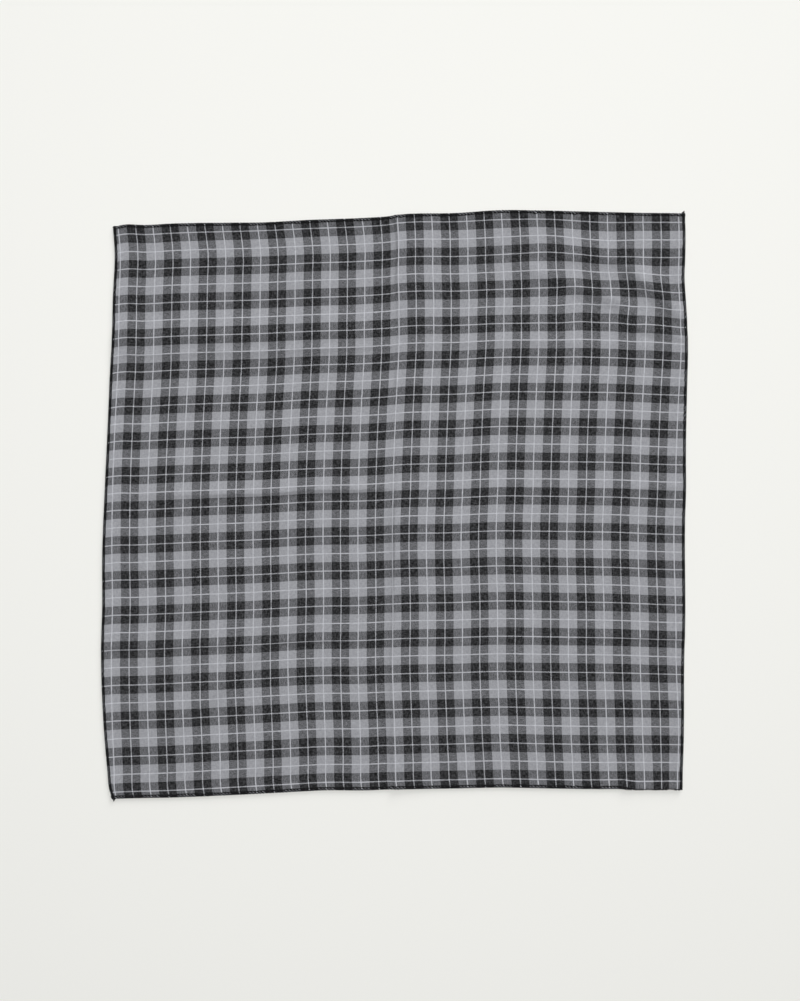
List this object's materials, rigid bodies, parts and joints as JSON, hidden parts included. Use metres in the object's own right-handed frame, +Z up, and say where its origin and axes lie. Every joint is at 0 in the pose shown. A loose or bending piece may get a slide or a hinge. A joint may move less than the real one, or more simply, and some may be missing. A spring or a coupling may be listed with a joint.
{
  "type": "bandana",
  "caption": "Square cotton bandana in a black and grey check with thin white lines, spread flat with its storage creases and a narrow black overlocked hem.",
  "frame": {"origin": "centre of the spread cloth's box, on the surface that it lies on", "axes": "+X to the right and +Y to the far edge of the cloth as it is looked down on, +Z up out of its face"},
  "size_m": [0.532, 0.534, 0.0049],
  "materials": {
    "cotton_check": "matt yarn-dyed plain weave, black and grey bands crossed by thin white lines",
    "overlock_thread": "matt black spun sewing thread"
  },
  "bodies": {
    "root": {"bandana": "cotton_check"}
  },
  "joints": []
}
